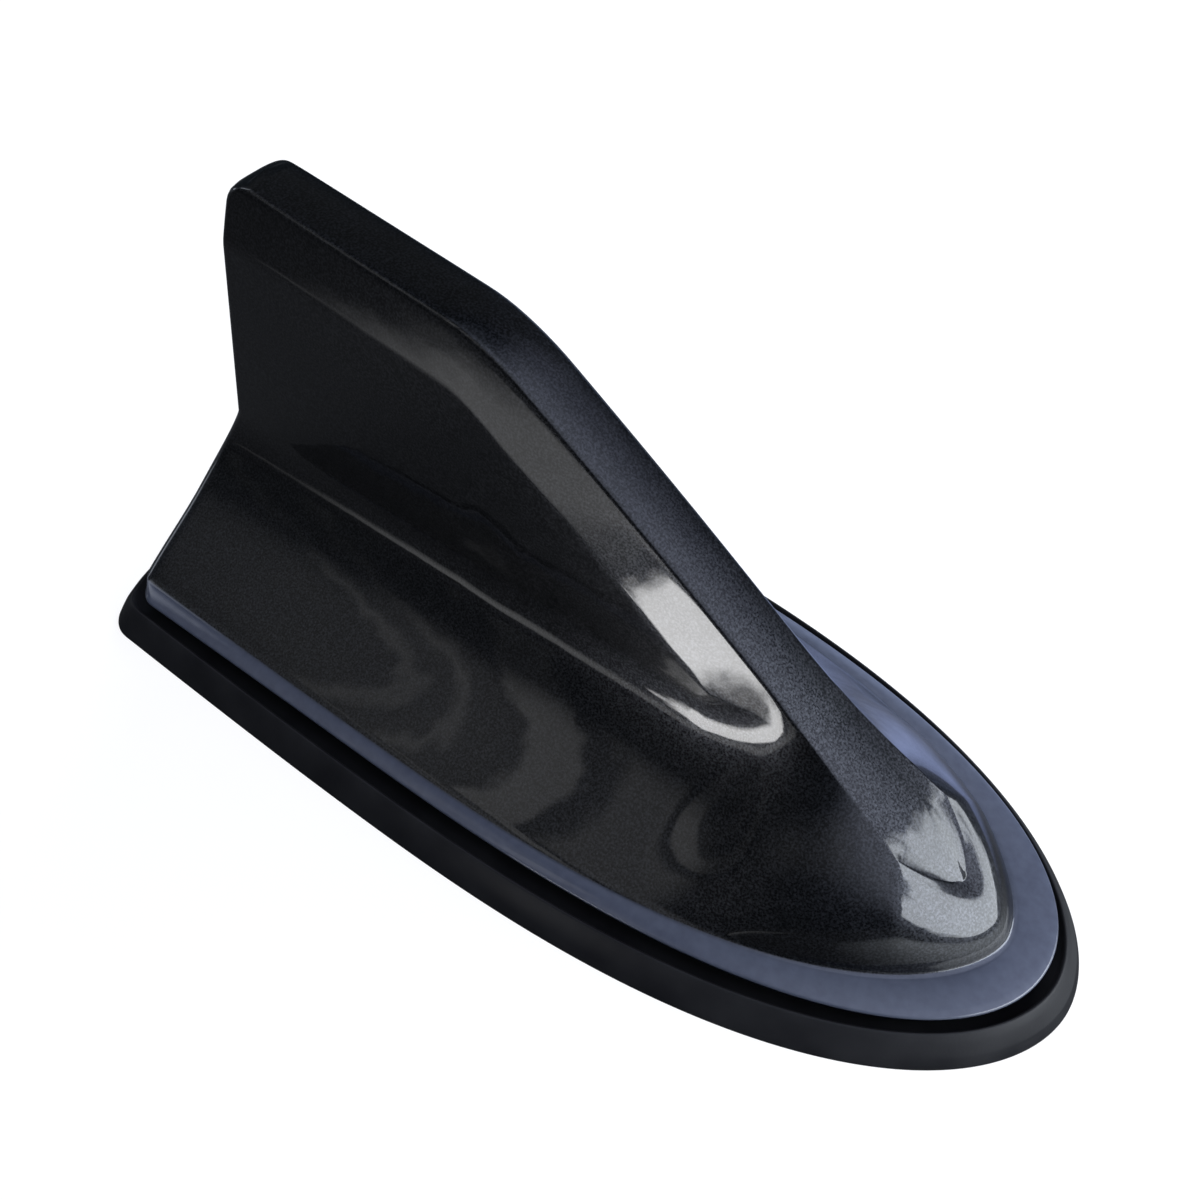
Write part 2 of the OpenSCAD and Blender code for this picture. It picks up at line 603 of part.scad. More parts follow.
module radiator_coil() {
    sides = 6;
    steps = 16;
    coil_r = (former_r + thread_gap) / cos(180 / steps) + wire_r;
    coil_high = plate_under(-mast_x) - coil_gap;
    pitch = (coil_high - coil_low) / turns;
    rise = atan(pitch / (360 * coil_r * PI / 180));
    bend = 0.6;
    path = concat([[0, board_top, 90], [0, coil_low - bend, 90]],
        [for (k = [0:turns * steps]) [360 * k / steps, coil_low + pitch * k / steps, rise]],
        [[0, coil_high + bend, 90],
         [0, plate_under(coil_r - mast_x) - wire_r * tan(top_slope), 90]]);
    rings = len(path);
    points = [for (s = path) let (r = [cos(s[0]), sin(s[0]), 0], w = [-sin(s[0]), cos(s[0]), 0],
        e = sin(s[2]) * w - cos(s[2]) * [0, 0, 1]) for (j = [0:sides - 1])
        let (u = 360 * j / sides) [-mast_x, 0, s[1]] + r * (coil_r + wire_r * cos(u)) + e * wire_r * sin(u)];
    color([0.72, 0.42, 0.2]) polyhedron(points = points, faces = concat(
        [[for (j = [0:sides - 1]) j], [for (j = [sides - 1:-1:0]) (rings - 1) * sides + j]],
        [for (k = [0:rings - 2]) for (j = [0:sides - 1])
            let (a = k * sides + j, b = k * sides + (j + 1) % sides, c = b + sides, d = a + sides)
            each [[a, c, b], [a, d, c]]]));
}

module hung(drop) {
    translate([-top_plate_x, 0, roof(-top_plate_x)]) rotate([0, top_slope, 0])
        translate([0, 0, -drop]) children();
}
module top_plate() {
    color([0.8, 0.8, 0.82]) hung(foam_t + top_plate_leg) difference() {
        translate([-top_plate_l / 2, -top_plate_half, 0])
            cube([top_plate_l, 2 * top_plate_half, top_plate_leg]);
        translate([-top_plate_l / 2 - 1, top_plate_t - top_plate_half, -1])
            cube([top_plate_l + 2, 2 * (top_plate_half - top_plate_t), top_plate_leg - top_plate_t + 1]);
    }
}
module anti_rattle_foam() {
    color([0.15, 0.15, 0.15]) hung(foam_t)
        translate([-top_plate_l / 2, -top_plate_half, 0]) cube([top_plate_l, 2 * top_plate_half, foam_t]);
}

module socket(x) {
    translate([x, -socket_half, board_top]) difference() {
        cube([socket_l, 2 * socket_half, socket_h]);
        translate([2, socket_half, socket_h / 2]) rotate([0, 90, 0])
            cylinder(r = socket_r, h = socket_l, $fn = 32);
    }
    translate([x + 1, 0, board_top + socket_h / 2]) rotate([0, 90, 0])
        cylinder(r = 0.5, h = socket_l - 3, $fn = 16);
}
module radio_socket() {
    color([0.1, 0.1, 0.35]) socket(board_front - socket_l + 4);
}
module satnav_socket() {
    color([0.15, 0.15, 0.6]) mirror([1, 0, 0]) socket(-sat_rear - 4);
}

module satnav_board() {
    color([0.05, 0.3, 0.15]) difference() {
        translate([sat_rear, -sat_half, board_z]) cube([sat_l, 2 * sat_half, board_t]);
        translate([patch_x, 0, board_z - 1]) cylinder(r = pin_r + thread_gap, h = board_t + 2, $fn = 20);
    }
}

module square_piece(side, z, h) {
    difference() {
        translate([patch_x - side / 2, -side / 2, z]) cube([side, side, h]);
        translate([patch_x, 0, z - 1]) cylinder(r = pin_r + thread_gap, h = h + 2, $fn = 20);
    }
}
module patch_tape() {
    color([0.9, 0.9, 0.85]) square_piece(patch_side, board_top, tape_t);
}
module patch_ceramic() {
    color([0.88, 0.84, 0.74]) square_piece(patch_side, tape_top, patch_t);
}
module patch_face() {
    color([0.82, 0.82, 0.84]) square_piece(face_side, tape_top + patch_t, face_t);
}
module feed_pin() {
    top = tape_top + patch_t + face_t;
    color([0.85, 0.7, 0.35]) translate([patch_x, 0, 0]) {
        translate([0, 0, board_z - 0.6]) cylinder(r = pin_r, h = top - board_z + 0.8, $fn = 20);
        translate([0, 0, top]) cylinder(r = 2 * pin_r, h = 0.3, $fn = 24);
    }
}

module cable_grommet() {
    neck_r = outlet_hole_r - 0.1;
    top = floor_z + 1.6;
    color([0.06, 0.06, 0.06]) translate([outlet_x, 0, 0]) rotate_extrude($fn = 48) polygon([
        [outlet_r, 0.3], [outlet_flange_r, 0.3], [outlet_flange_r, pad_t], [neck_r, pad_t],
        [neck_r, floor_z], [outlet_flange_r, floor_z], [outlet_flange_r - 0.8, top], [outlet_r, top]]);
}

fin_cover();
base_gasket();
base_plate();
adhesive_pad();
cover_screws();
ground_plate();
amplifier_board();
shield_can();
amplifier_chip();
filter_coils();
board_capacitors();
board_screws();
coil_former();
radiator_coil();
top_plate();
anti_rattle_foam();
radio_socket();
satnav_board();
patch_tape();
patch_ceramic();
patch_face();
feed_pin();
satnav_socket();
cable_grommet();
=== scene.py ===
"""Shark fin roof aerial: the looks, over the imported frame."""
import math
from collections import namedtuple

import bmesh
import bpy
import numpy as np
from mathutils import Matrix, Vector


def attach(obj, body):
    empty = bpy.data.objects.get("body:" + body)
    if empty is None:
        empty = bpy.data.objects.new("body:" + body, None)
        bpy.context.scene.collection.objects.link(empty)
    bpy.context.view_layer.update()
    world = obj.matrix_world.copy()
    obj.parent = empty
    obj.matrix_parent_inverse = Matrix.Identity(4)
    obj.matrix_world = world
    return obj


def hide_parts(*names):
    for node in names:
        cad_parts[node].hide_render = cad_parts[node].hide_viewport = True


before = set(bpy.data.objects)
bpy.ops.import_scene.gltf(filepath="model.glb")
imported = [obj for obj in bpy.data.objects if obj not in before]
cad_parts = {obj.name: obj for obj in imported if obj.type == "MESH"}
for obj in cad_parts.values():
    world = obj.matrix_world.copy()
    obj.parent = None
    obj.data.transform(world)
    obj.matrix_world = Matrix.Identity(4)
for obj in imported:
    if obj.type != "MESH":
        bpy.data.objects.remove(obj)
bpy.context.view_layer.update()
MM = 0.001

# Driving sizes of the cover and the gasket in millimetres and degrees, the same as in the part's source
GASKET = dict(ahead=5, behind=3.6, side=5.6, rear_side=4.7, height=5.3, shoulder=4.1, slope=2.1, rim=1,
              ledge=3.4, reach=5)
EDGE = dict(nose=78.6, half=32.6, rear_half=32.8, rear=80, z=6.6, t=0.7)
WALL = dict(nose=72.2, half=30.3, rear_half=30, z=8.2, t=2)
FIN = dict(height=78.3, top_slope=7.6, bend_x=-14, shoulder_h=31.5, front_crown=0.8, shoulder_x=41.5,
           nose_full=1.25)
SPINE = dict(half=4.5, crown=0.4)
BEVEL = dict(top=9.8, front=11.6, lean=11.5)
SIDE = dict(lean=1, waist_z=33, flare_slope=36)
REAR = dict(waist_z=48, waist=63.6, lean=4.8, flare=9, foot_z=18, bulge=2, foot_bulge=6, top_round=3.2)
SKIRT = dict(inset=1.4, t=1.8)
WIDEST_X = -27.5
# Towards the nose the spine widens, the sides open and the foot steepens, each from a place x over a run
NOSE = dict(gather=0.73, widen=1.7, widen_x=30, widen_run=24, open=64, open_x=22, open_run=40,
            foot_slope=72, foot_x=24, foot_run=28)
# How far the inner skin lies in from the outer one, as shares of the wall
SHARE = dict(foot=0.65, crease=0.8, spine=1.1)
# Lengths over which the lines of the side view run into each other, and the dome's drop at the shoulder
BLEND = dict(bend=4, dome=1, dome_drop=0.4)
# Rounded edges, which only the looks have
ROUND = dict(bevel=1.1, spine=0.8, nose=2.6, nose_x=46, nose_run=16, steps=8)
BRIM_CROWN = 0.12
SHORTEST = 0.6
# Length of the flare's curve handles, as a share of its chord
HANDLE = 0.37

# Colours and finishes, and the heights between which the brim's finish starts; the brim's lilac-grey
# colours are a painted reflection of a bluish sky, on a satin finish
PAINT = dict(body=(0.0045, 0.0048, 0.0056), flake=(0.026, 0.027, 0.031), flake_scale=3000.0,
             rough=(0.36, 0.46), specular=0.1, coat=0.5, coat_rough=0.025, coat_ior=1.5)
# The brim's low and high colours are a painted reflection of bluish sky light, not the paint's own colour
BRIM = dict(low=(0.038, 0.043, 0.062), high=(0.048, 0.054, 0.076), rough=0.34, start_z=8.32, full_z=8.1)
RUBBER = dict(low=(0.006, 0.006, 0.007), high=(0.012, 0.012, 0.013), rough=(0.42, 0.56), specular=0.1)

# Points along the outlines and along the flare
NOSE_STEPS = 96
SIDE_STEPS = 40
REAR_STEPS = 36
LAST = NOSE_STEPS + SIDE_STEPS + REAR_STEPS
FLARE_POINTS = dict(outer=30, inner=8)


def mix(a, b, u):
    return a + (b - a) * u


def clamp01(u):
    return min(max(u, 0.0), 1.0)


def ease(u):
    c = clamp01(u)
    return c * c * (3 - 2 * c)


def soft_min(a, b, k):
    h = clamp01(0.5 + 0.5 * (b - a) / k)
    return mix(b, a, h) - k * h * (1 - h)


def soft_max(a, b, k):
    return -soft_min(-a, -b, k)


# Half a plan outline: its reach to the nose, sides and rear, and the powers that shape it
Outline = namedtuple("Outline", "nose half rear_half bulge rear nose_power width_power rear_power")
FOOT_LINE = Outline(nose=EDGE["nose"] + GASKET["ahead"], half=EDGE["half"] + GASKET["side"],
                    rear_half=EDGE["rear_half"] + GASKET["rear_side"], bulge=10.6,
                    rear=EDGE["rear"] + GASKET["behind"], nose_power=2.83, width_power=1.92, rear_power=3)
EDGE_LINE = Outline(nose=EDGE["nose"], half=EDGE["half"], rear_half=EDGE["rear_half"], bulge=9.5,
                    rear=EDGE["rear"], nose_power=2.9, width_power=2.04, rear_power=2.2)
WALL_LINE = Outline(nose=WALL["nose"], half=WALL["half"], rear_half=WALL["rear_half"],
                    bulge=REAR["foot_bulge"], rear=REAR["waist"] + REAR["flare"] + REAR["foot_bulge"],
                    nose_power=2.95, width_power=1.75, rear_power=3.2)


def inset(o, d):
    """The outline o moved in by d."""
    return o._replace(nose=o.nose - d, half=o.half - d, rear_half=o.rear_half - d,
                      bulge=o.bulge - min(d, o.bulge - 1) * 0.5, rear=o.rear - d)


# Stations run from 0 at the nose along the near side to LAST in the middle of the rear
def nose_angle(i):
    return math.radians(90 * clamp01(i / NOSE_STEPS))


def side_part(i):
    return clamp01((i - NOSE_STEPS) / SIDE_STEPS)


def rear_angle(i):
    return math.radians(90 * clamp01((i - NOSE_STEPS - SIDE_STEPS) / REAR_STEPS))


def cap_sin(i, p):
    return math.sin(rear_angle(i)) ** (2 / p)


def cap_cos(i, p):
    return 0.0 if i >= LAST else math.cos(rear_angle(i)) ** (2 / p)


def side_grow(u):
    return u ** 1.5


def plan_x(o, i):
    if i <= NOSE_STEPS:
        return mix(WIDEST_X, o.nose, 0 if i == NOSE_STEPS else math.cos(nose_angle(i)))
    return mix(WIDEST_X, o.bulge - o.rear, side_part(i)) - o.bulge * cap_sin(i, o.rear_power)


def plan_y(o, i):
    if i == 0:
        return 0.0
    if i <= NOSE_STEPS:
        return o.half * (1 - math.cos(nose_angle(i)) ** o.nose_power) ** (1 / o.width_power)
    return mix(o.half, o.rear_half, side_grow(side_part(i))) * cap_cos(i, o.rear_power)


# Side view of the fin
def top_line(x):
    return FIN["height"] - (x + REAR["waist"] - REAR["lean"]) * math.tan(math.radians(FIN["top_slope"]))


def front_line(x):
    u = (x - FIN["bend_x"]) / (FIN["shoulder_x"] - FIN["bend_x"])
    fall = (top_line(FIN["bend_x"]) - FIN["shoulder_h"]) / (FIN["shoulder_x"] - FIN["bend_x"])
    return (top_line(FIN["bend_x"]) - (x - FIN["bend_x"]) * fall
            + FIN["front_crown"] * max(0.0, math.sin(math.pi * clamp01(u))))


def dome_line(x, t):
    u = (WALL["nose"] - t - x) / (WALL["nose"] - FIN["shoulder_x"])
    rise = FIN["shoulder_h"] - BLEND["dome_drop"] - WALL["z"]
    return WALL["z"] - SHARE["crease"] * t + rise * min(1.1, max(0.0, u)) ** (1 / FIN["nose_full"])


def spine_z(x, t):
    """Height of the spine at x, on the skin that lies t inside the outer one."""
    upper = soft_min(top_line(x), front_line(x), BLEND["bend"]) - SHARE["spine"] * t
    return soft_max(upper, dome_line(x, t), BLEND["dome"])


def rear_edge(z):
    """Where the rear edge is at height z: leaning forward above its waist, flared out below it."""
    if z > REAR["waist_z"]:
        up = (z - REAR["waist_z"]) / (FIN["height"] - REAR["waist_z"])
        return -REAR["waist"] + REAR["lean"] * up ** 1.7
    down = (REAR["waist_z"] - z) / (REAR["waist_z"] - REAR["foot_z"])
    return -REAR["waist"] - REAR["flare"] * ease(down)


def bulge(z):
    start = SIDE["waist_z"] + 3
    return mix(REAR["bulge"], REAR["foot_bulge"], clamp01((start - z) / (start - WALL["z"])))


def bezier(points, u):
    a, b, c, d = points
    return a * (1 - u) ** 3 + 3 * b * u * (1 - u) ** 2 + 3 * c * u * u * (1 - u) + d * u ** 3


def fillet(line, radii, steps):
    """A line of points whose corners are rounded over the distances in radii."""
    out = [line[0]]
    for k in range(1, len(line) - 1):
        a, b, c = line[k - 1], line[k], line[k + 1]
        ab, bc = np.linalg.norm(b - a), np.linalg.norm(c - b)
        r = min(radii[k], 0.45 * ab, 0.45 * bc)
        if r < 1e-4:
            out.append(b)
            continue
        p, q = b + (a - b) / ab * r, b + (c - b) / bc * r
        for u in np.linspace(0, 1, steps):
            out.append(p * (1 - u) ** 2 + 2 * b * u * (1 - u) + q * u * u)
    out.append(line[-1])
    return out


def corner(i, v):
    """How far the rear top corner's rounding moves a point forward, v from 0 at its foot to 1 on top."""
    return REAR["top_round"] * side_part(i) ** 8 * (1 - math.sqrt(1 - v * v))


def rib_profile(i, t):
    """Cross section of the cover at station i, its points as distance from the spine's edge and height."""
    nose = i <= NOSE_STEPS
    o = inset(WALL_LINE, SHARE["foot"] * t)
    foot_y = plan_y(o, i) if nose else mix(o.half, o.rear_half, side_grow(side_part(i)))
    flat_x = plan_x(o, min(i, NOSE_STEPS))
    fan = ease((flat_x - FIN["shoulder_x"]) / (WALL["nose"] - FIN["shoulder_x"]))
    if nose:
        gathered = FIN["shoulder_x"] + NOSE["gather"] * (flat_x - FIN["shoulder_x"])
        spine_x = mix(flat_x, gathered, clamp01(fan * 3))
    else:
        spine_x = mix(WIDEST_X, rear_edge(FIN["height"]) + t, side_part(i)) + corner(i, 1)
    top_z = spine_z(spine_x, t)
    widened = max(0.0, (spine_x - NOSE["widen_x"]) / NOSE["widen_run"]) ** 2
    wide = SPINE["half"] - t + NOSE["widen"] * widened
    half = 0.0 if i == 0 else min(wide, 0.45 * foot_y)

    open_a = math.radians(NOSE["open"] * ease((spine_x - NOSE["open_x"]) / NOSE["open_run"]))
    drop = mix(BEVEL["top"], BEVEL["front"], ease((spine_x - FIN["bend_x"] + 6) / 12))
    bevel_l = max(min(drop, top_z - SIDE["waist_z"]), SHORTEST)
    bevel_a = max(math.radians(BEVEL["lean"]), open_a)
    bevel = np.array([bevel_l * math.sin(bevel_a), top_z - bevel_l * math.cos(bevel_a)])
    side_l = max(bevel[1] - SIDE["waist_z"], SHORTEST)
    side_a = max(math.radians(SIDE["lean"]), open_a)
    waist = bevel + side_l * np.array([math.sin(side_a), -math.cos(side_a)])

    away = np.array([plan_x(o, i) - spine_x if nose else 0.0, foot_y - half])
    run = float(np.linalg.norm(away))
    foot = np.array([run, WALL["z"] - SHARE["crease"] * t])
    pull = HANDLE * math.hypot(run - waist[0], waist[1] - foot[1])
    steeper = ease((spine_x - NOSE["foot_x"]) / NOSE["foot_run"])
    foot_a = math.radians(mix(SIDE["flare_slope"], NOSE["foot_slope"], steeper))
    flare = (foot, foot + pull * np.array([-math.cos(foot_a), math.sin(foot_a)]),
             waist + pull * np.array([math.sin(open_a), -math.cos(open_a)]), waist)
    return dict(flare=flare, waist=waist, bevel=bevel, top=np.array([0.0, top_z]), half=half,
                way=away / run, spine_x=spine_x, mid_x=spine_x - 2 * fan)


def rib_place(i, z, y, fx, t, top_z):
    """The place of a section's point in the frame; behind the widest station it follows the rear edge."""
    if i <= NOSE_STEPS:
        return (fx, y, z)
    v = clamp01((z - top_z + REAR["top_round"]) / REAR["top_round"])
    along = mix(WIDEST_X, rear_edge(z) + t, side_part(i))
    x = along - bulge(z) * cap_sin(i, WALL_LINE.rear_power) + corner(i, v)
    return (x, y * cap_cos(i, WALL_LINE.rear_power), z)


def rib(i, t, fine):
    """One side of a section as points in the frame, from the crease to the middle of the spine."""
    r = rib_profile(i, t)
    waist, bevel, top = r["waist"], r["bevel"], r["top"]
    n = FLARE_POINTS["outer" if fine else "inner"]
    line = [bezier(r["flare"], k / n) for k in range(n)]
    if fine:
        blunt = ease((r["spine_x"] - ROUND["nose_x"]) / ROUND["nose_run"])
        radii = [0, ROUND["bevel"], ROUND["spine"] + ROUND["nose"] * blunt, 0]
        inner = np.array([-r["half"] * 0.5 if r["half"] else -0.01, top[1] + 0.3])
        upper = fillet([waist, bevel, top, inner], radii, ROUND["steps"])[:-1]
        # Closer points where the rear top corner is rounded
        k = next(m for m, q in enumerate(upper) if q[1] > mix(bevel[1], top[1], 0.55))
        low, high = upper[k - 1], upper[k]
        line += upper[:k] + [mix(low, high, u / 10) for u in range(1, 10)] + upper[k:]
    else:
        line += [waist, bevel, mix(bevel, top, 0.6), mix(bevel, top, 0.85), top]
    pts = [rib_place(i, q[1], r["half"] + r["way"][1] * q[0], r["spine_x"] + r["way"][0] * q[0], t, top[1])
           for q in line]
    for u in ((0.45, 0.3, 0.15, 0) if fine else (0.5, 0)):
        x = mix(r["mid_x"], r["spine_x"], u)
        z = spine_z(x, t) + SPINE["crown"] * (1 - u * u)
        pts.append(rib_place(i, z, r["half"] * u, x, t, top[1]))
    return pts


def edge_point(i, d, z):
    o = inset(EDGE_LINE, d)
    return (plan_x(o, i), plan_y(o, i), z)


def weld(mesh):
    bm = bmesh.new()
    bm.from_mesh(mesh)
    bmesh.ops.remove_doubles(bm, verts=bm.verts, dist=2e-6)
    bmesh.ops.dissolve_degenerate(bm, edges=bm.edges, dist=1e-7)
    bmesh.ops.recalc_face_normals(bm, faces=bm.faces)
    bm.to_mesh(mesh)
    bm.free()
    for p in mesh.polygons:
        p.use_smooth = True


def grid_mesh(name, rows):
    """A mesh through rows of points, each row a closed loop, welded where points meet."""
    points = np.array(rows, dtype=float) * MM
    n_rows, n_cols = points.shape[:2]
    faces = []
    for a in range(n_rows - 1):
        for b in range(n_cols):
            c = (b + 1) % n_cols
            faces.append((a * n_cols + b, a * n_cols + c, (a + 1) * n_cols + c, (a + 1) * n_cols + b))
    mesh = bpy.data.meshes.new(name)
    mesh.from_pydata([tuple(p) for p in points.reshape(-1, 3)], [], faces)
    obj = bpy.data.objects.new(name, mesh)
    bpy.context.scene.collection.objects.link(obj)
    weld(mesh)
    return obj


def both_sides(side):
    """A section from the near side's first point over the middle to the far side's first point."""
    near = [(x, -y, z) for x, y, z in side]
    return near + side[-2::-1]


def cover_section(i):
    """The near half of the outer skin at station i: skirt, edge, brim and rib."""
    low, high = EDGE["z"], EDGE["z"] + EDGE["t"]
    # Distance inside the edge's outline, and height
    rim = [(SKIRT["inset"], GASKET["ledge"]), (SKIRT["inset"], low), (0.12, low), (0, low + 0.12),
           (0, high - 0.3), (0.09, high - 0.09), (0.3, high + 0.04)]
    outer = [edge_point(i, d, z) for d, z in rim]
    skin = rib(i, 0, True)
    start, first = np.array(outer[-1]), np.array(skin[0])
    brim = [tuple(mix(start, first, u) + np.array([0, 0, BRIM_CROWN * math.sin(math.pi * u)]))
            for u in (0.15, 0.3, 0.45, 0.6, 0.75, 0.88)]
    return outer + brim + skin


def build_cover():
    depth = SKIRT["inset"] + SKIRT["t"]
    rows = []
    for i in range(LAST + 1):
        hem = [edge_point(i, depth, GASKET["ledge"]), edge_point(i, depth, WALL["z"] - WALL["t"])]
        inner = hem + rib(i, WALL["t"], False)
        rows.append(both_sides(cover_section(i)) + both_sides(inner)[::-1])
    return grid_mesh("cover_skin", rows)


def build_gasket():
    slope, shoulder, top, ledge = (GASKET[key] for key in ("slope", "shoulder", "height", "ledge"))
    crest = slope + GASKET["rim"]
    # Distance inside the foot's outline, and height, from the roof over the crest down to the ledge
    outer = [(0, 0), (0.02, 0.3), (0.1, 0.6), (0.25, 0.9), (slope * 0.5, 0.45 + shoulder * 0.5),
             (slope - 0.15, shoulder - 0.25), (slope, shoulder), (slope + 0.2, shoulder + 0.26),
             (crest - 0.3, top - 0.26), (crest - 0.12, top - 0.08), (crest + 0.05, top),
             (crest + 0.2, top - 0.06), (crest + 0.4, top - 0.4), (crest + 0.8, ledge)]
    inner = [(GASKET["reach"], ledge), (GASKET["reach"], 0)]
    rows = []
    for line, profile in ((FOOT_LINE, outer), (EDGE_LINE, inner)):
        for d, z in profile:
            o = inset(line, d)
            side = [(plan_x(o, i), plan_y(o, i), z) for i in range(LAST + 1)]
            rows.append(side + [(x, -y, z) for x, y, z in side[-2:0:-1]])
    rows.append(rows[0])
    return grid_mesh("gasket_skin", rows)


# Camera, from a fit to the outlines in the photograph: degrees, millimetres, and the focal length in pixels
CAM_AZ, CAM_EL, CAM_ROLL = 38.2451, 49.5284, -0.27535
CAM_DIST, CAM_F = 200.0017, 1304.604
CAM_SHIFT = (-0.22036, 6.18798)
CAM_CENTRE_X, CAM_CENTRE_Z = 1.15, 20.0
PHOTO = 1200


def add_camera():
    a, e, r = (math.radians(v) for v in (CAM_AZ, CAM_EL, CAM_ROLL))
    back = Vector((math.sin(a) * math.cos(e), -math.cos(a) * math.cos(e), math.sin(e)))
    right = Vector((math.cos(a), math.sin(a), 0))
    up = back.cross(right)
    right, up = math.cos(r) * right + math.sin(r) * up, math.cos(r) * up - math.sin(r) * right
    centre = Vector((CAM_CENTRE_X, 0, CAM_CENTRE_Z)) + CAM_SHIFT[0] * right + CAM_SHIFT[1] * up
    data = bpy.data.cameras.new("camera")
    data.sensor_width = 36
    data.lens = CAM_F / PHOTO * data.sensor_width
    data.clip_start = 0.01
    data.clip_end = 20
    cam = bpy.data.objects.new("camera", data)
    bpy.context.scene.collection.objects.link(cam)
    turn = Matrix((right, up, back)).transposed().to_4x4()
    cam.matrix_world = Matrix.Translation((centre + CAM_DIST * back) * MM) @ turn
    bpy.context.scene.camera = cam


def new_material(name):
    m = bpy.data.materials.new(name)
    m.use_nodes = True
    return m, m.node_tree, m.node_tree.nodes["Principled BSDF"]


def node(tree, kind, **values):
    n = tree.nodes.new(kind)
    for key, value in values.items():
        if hasattr(n, key):
            setattr(n, key, value)
        else:
            n.inputs[key.replace("_", " ")].default_value = value
    return n


def feed(tree, slot, value):
    """Links the slot to another node's output, or sets it to a value."""
    if isinstance(value, bpy.types.NodeSocket):
        tree.links.new(value, slot)
    else:
        slot.default_value = value


def math_node(tree, operation, *values):
    n = node(tree, "ShaderNodeMath", operation=operation)
    for slot, value in zip(n.inputs, values):
        feed(tree, slot, value)
    return n.outputs[0]


def vector_node(tree, operation, *values):
    n = node(tree, "ShaderNodeVectorMath", operation=operation)
    for slot, value in zip(n.inputs, values):
        feed(tree, slot, value)
    return n.outputs["Value" if operation in ("DOT_PRODUCT", "DISTANCE") else "Vector"]


def map_range(tree, source, start, end, low=0.0, high=1.0, curve="SMOOTHSTEP"):
    """Takes the source from low to high as it goes from start to end."""
    n = node(tree, "ShaderNodeMapRange", interpolation_type=curve)
    for key, value in (("From Min", start), ("From Max", end), ("To Min", low), ("To Max", high)):
        n.inputs[key].default_value = value
    tree.links.new(source, n.inputs["Value"])
    return n.outputs["Result"]


def mix_node(tree, kind, factor, a, b):
    n = node(tree, "ShaderNodeMix", data_type=kind)
    for key, value in (("Factor", factor), ("A", a), ("B", b)):
        feed(tree, n.inputs[key], value)
    return n.outputs["Result"]


def mix_shaders(tree, factor, a, b, surface):
    n = node(tree, "ShaderNodeMixShader")
    for slot, source in zip(n.inputs, (factor, a, b)):
        tree.links.new(source, slot)
    tree.links.new(n.outputs[0], surface)


def object_coords(tree):
    return node(tree, "ShaderNodeTexCoord").outputs["Object"]


def noise(tree, scale, detail=3.0):
    n = node(tree, "ShaderNodeTexNoise", Scale=scale, Detail=detail, Roughness=0.5)
    tree.links.new(object_coords(tree), n.inputs["Vector"])
    return n.outputs["Fac"]


def ramp(tree, source, stops):
    n = node(tree, "ShaderNodeValToRGB")
    while len(n.color_ramp.elements) < len(stops):
        n.color_ramp.elements.new(0.5)
    for el, (pos, col) in zip(n.color_ramp.elements, stops):
        el.position = pos
        el.color = (col, col, col, 1) if isinstance(col, (int, float)) else (*col, 1)
    tree.links.new(source, n.inputs["Fac"])
    return n.outputs["Color"]


def bump(tree, height, strength, distance):
    n = node(tree, "ShaderNodeBump", Strength=strength, Distance=distance)
    tree.links.new(height, n.inputs["Height"])
    return n.outputs["Normal"]


def paint_material():
    """Black car paint: dark flakes under a clear coat, and round its foot a satin brim whose lilac-grey
    colour is a painted reflection of a bluish sky.
    """
    m, tree, p = new_material("cover_paint")
    place = node(tree, "ShaderNodeSeparateXYZ")
    tree.links.new(object_coords(tree), place.inputs[0])
    brim = map_range(tree, place.outputs["Z"], BRIM["start_z"] * MM, BRIM["full_z"] * MM)
    body = ramp(tree, noise(tree, PAINT["flake_scale"], 2), [(0.4, PAINT["body"]), (0.72, PAINT["flake"])])
    # Painted sky reflection: the brim's lilac-grey colour stands in for bluish sky light mirrored by the
    # brim, varied at random
    brim_painted_sky = ramp(tree, noise(tree, 700.0), [(0.3, BRIM["low"]), (0.7, BRIM["high"])])
    smooth, rough = PAINT["rough"]
    body_rough = ramp(tree, noise(tree, 300.0), [(0.3, smooth), (0.7, rough)])
    tree.links.new(mix_node(tree, "RGBA", brim, body, brim_painted_sky), p.inputs["Base Color"])
    tree.links.new(mix_node(tree, "FLOAT", brim, body_rough, BRIM["rough"]), p.inputs["Roughness"])
    tree.links.new(math_node(tree, "SUBTRACT", 1.0, brim), p.inputs["Metallic"])
    p.inputs["Specular IOR Level"].default_value = PAINT["specular"]
    p.inputs["Coat Weight"].default_value = PAINT["coat"]
    p.inputs["Coat Roughness"].default_value = PAINT["coat_rough"]
    p.inputs["Coat IOR"].default_value = PAINT["coat_ior"]
    tree.links.new(bump(tree, noise(tree, 90.0, 2), 0.4, 0.0002), p.inputs["Coat Normal"])
    return m


def rubber_material():
    m, tree, p = new_material("gasket_rubber")
    smooth, rough = RUBBER["rough"]
    colour = ramp(tree, noise(tree, 120.0, 5), [(0.3, RUBBER["low"]), (0.7, RUBBER["high"])])
    tree.links.new(colour, p.inputs["Base Color"])
    tree.links.new(ramp(tree, noise(tree, 60.0, 5), [(0.3, smooth), (0.7, rough)]), p.inputs["Roughness"])
    tree.links.new(bump(tree, noise(tree, 2500.0, 2), 0.06, 0.0003), p.inputs["Normal"])
    p.inputs["Specular IOR Level"].default_value = RUBBER["specular"]
    return m


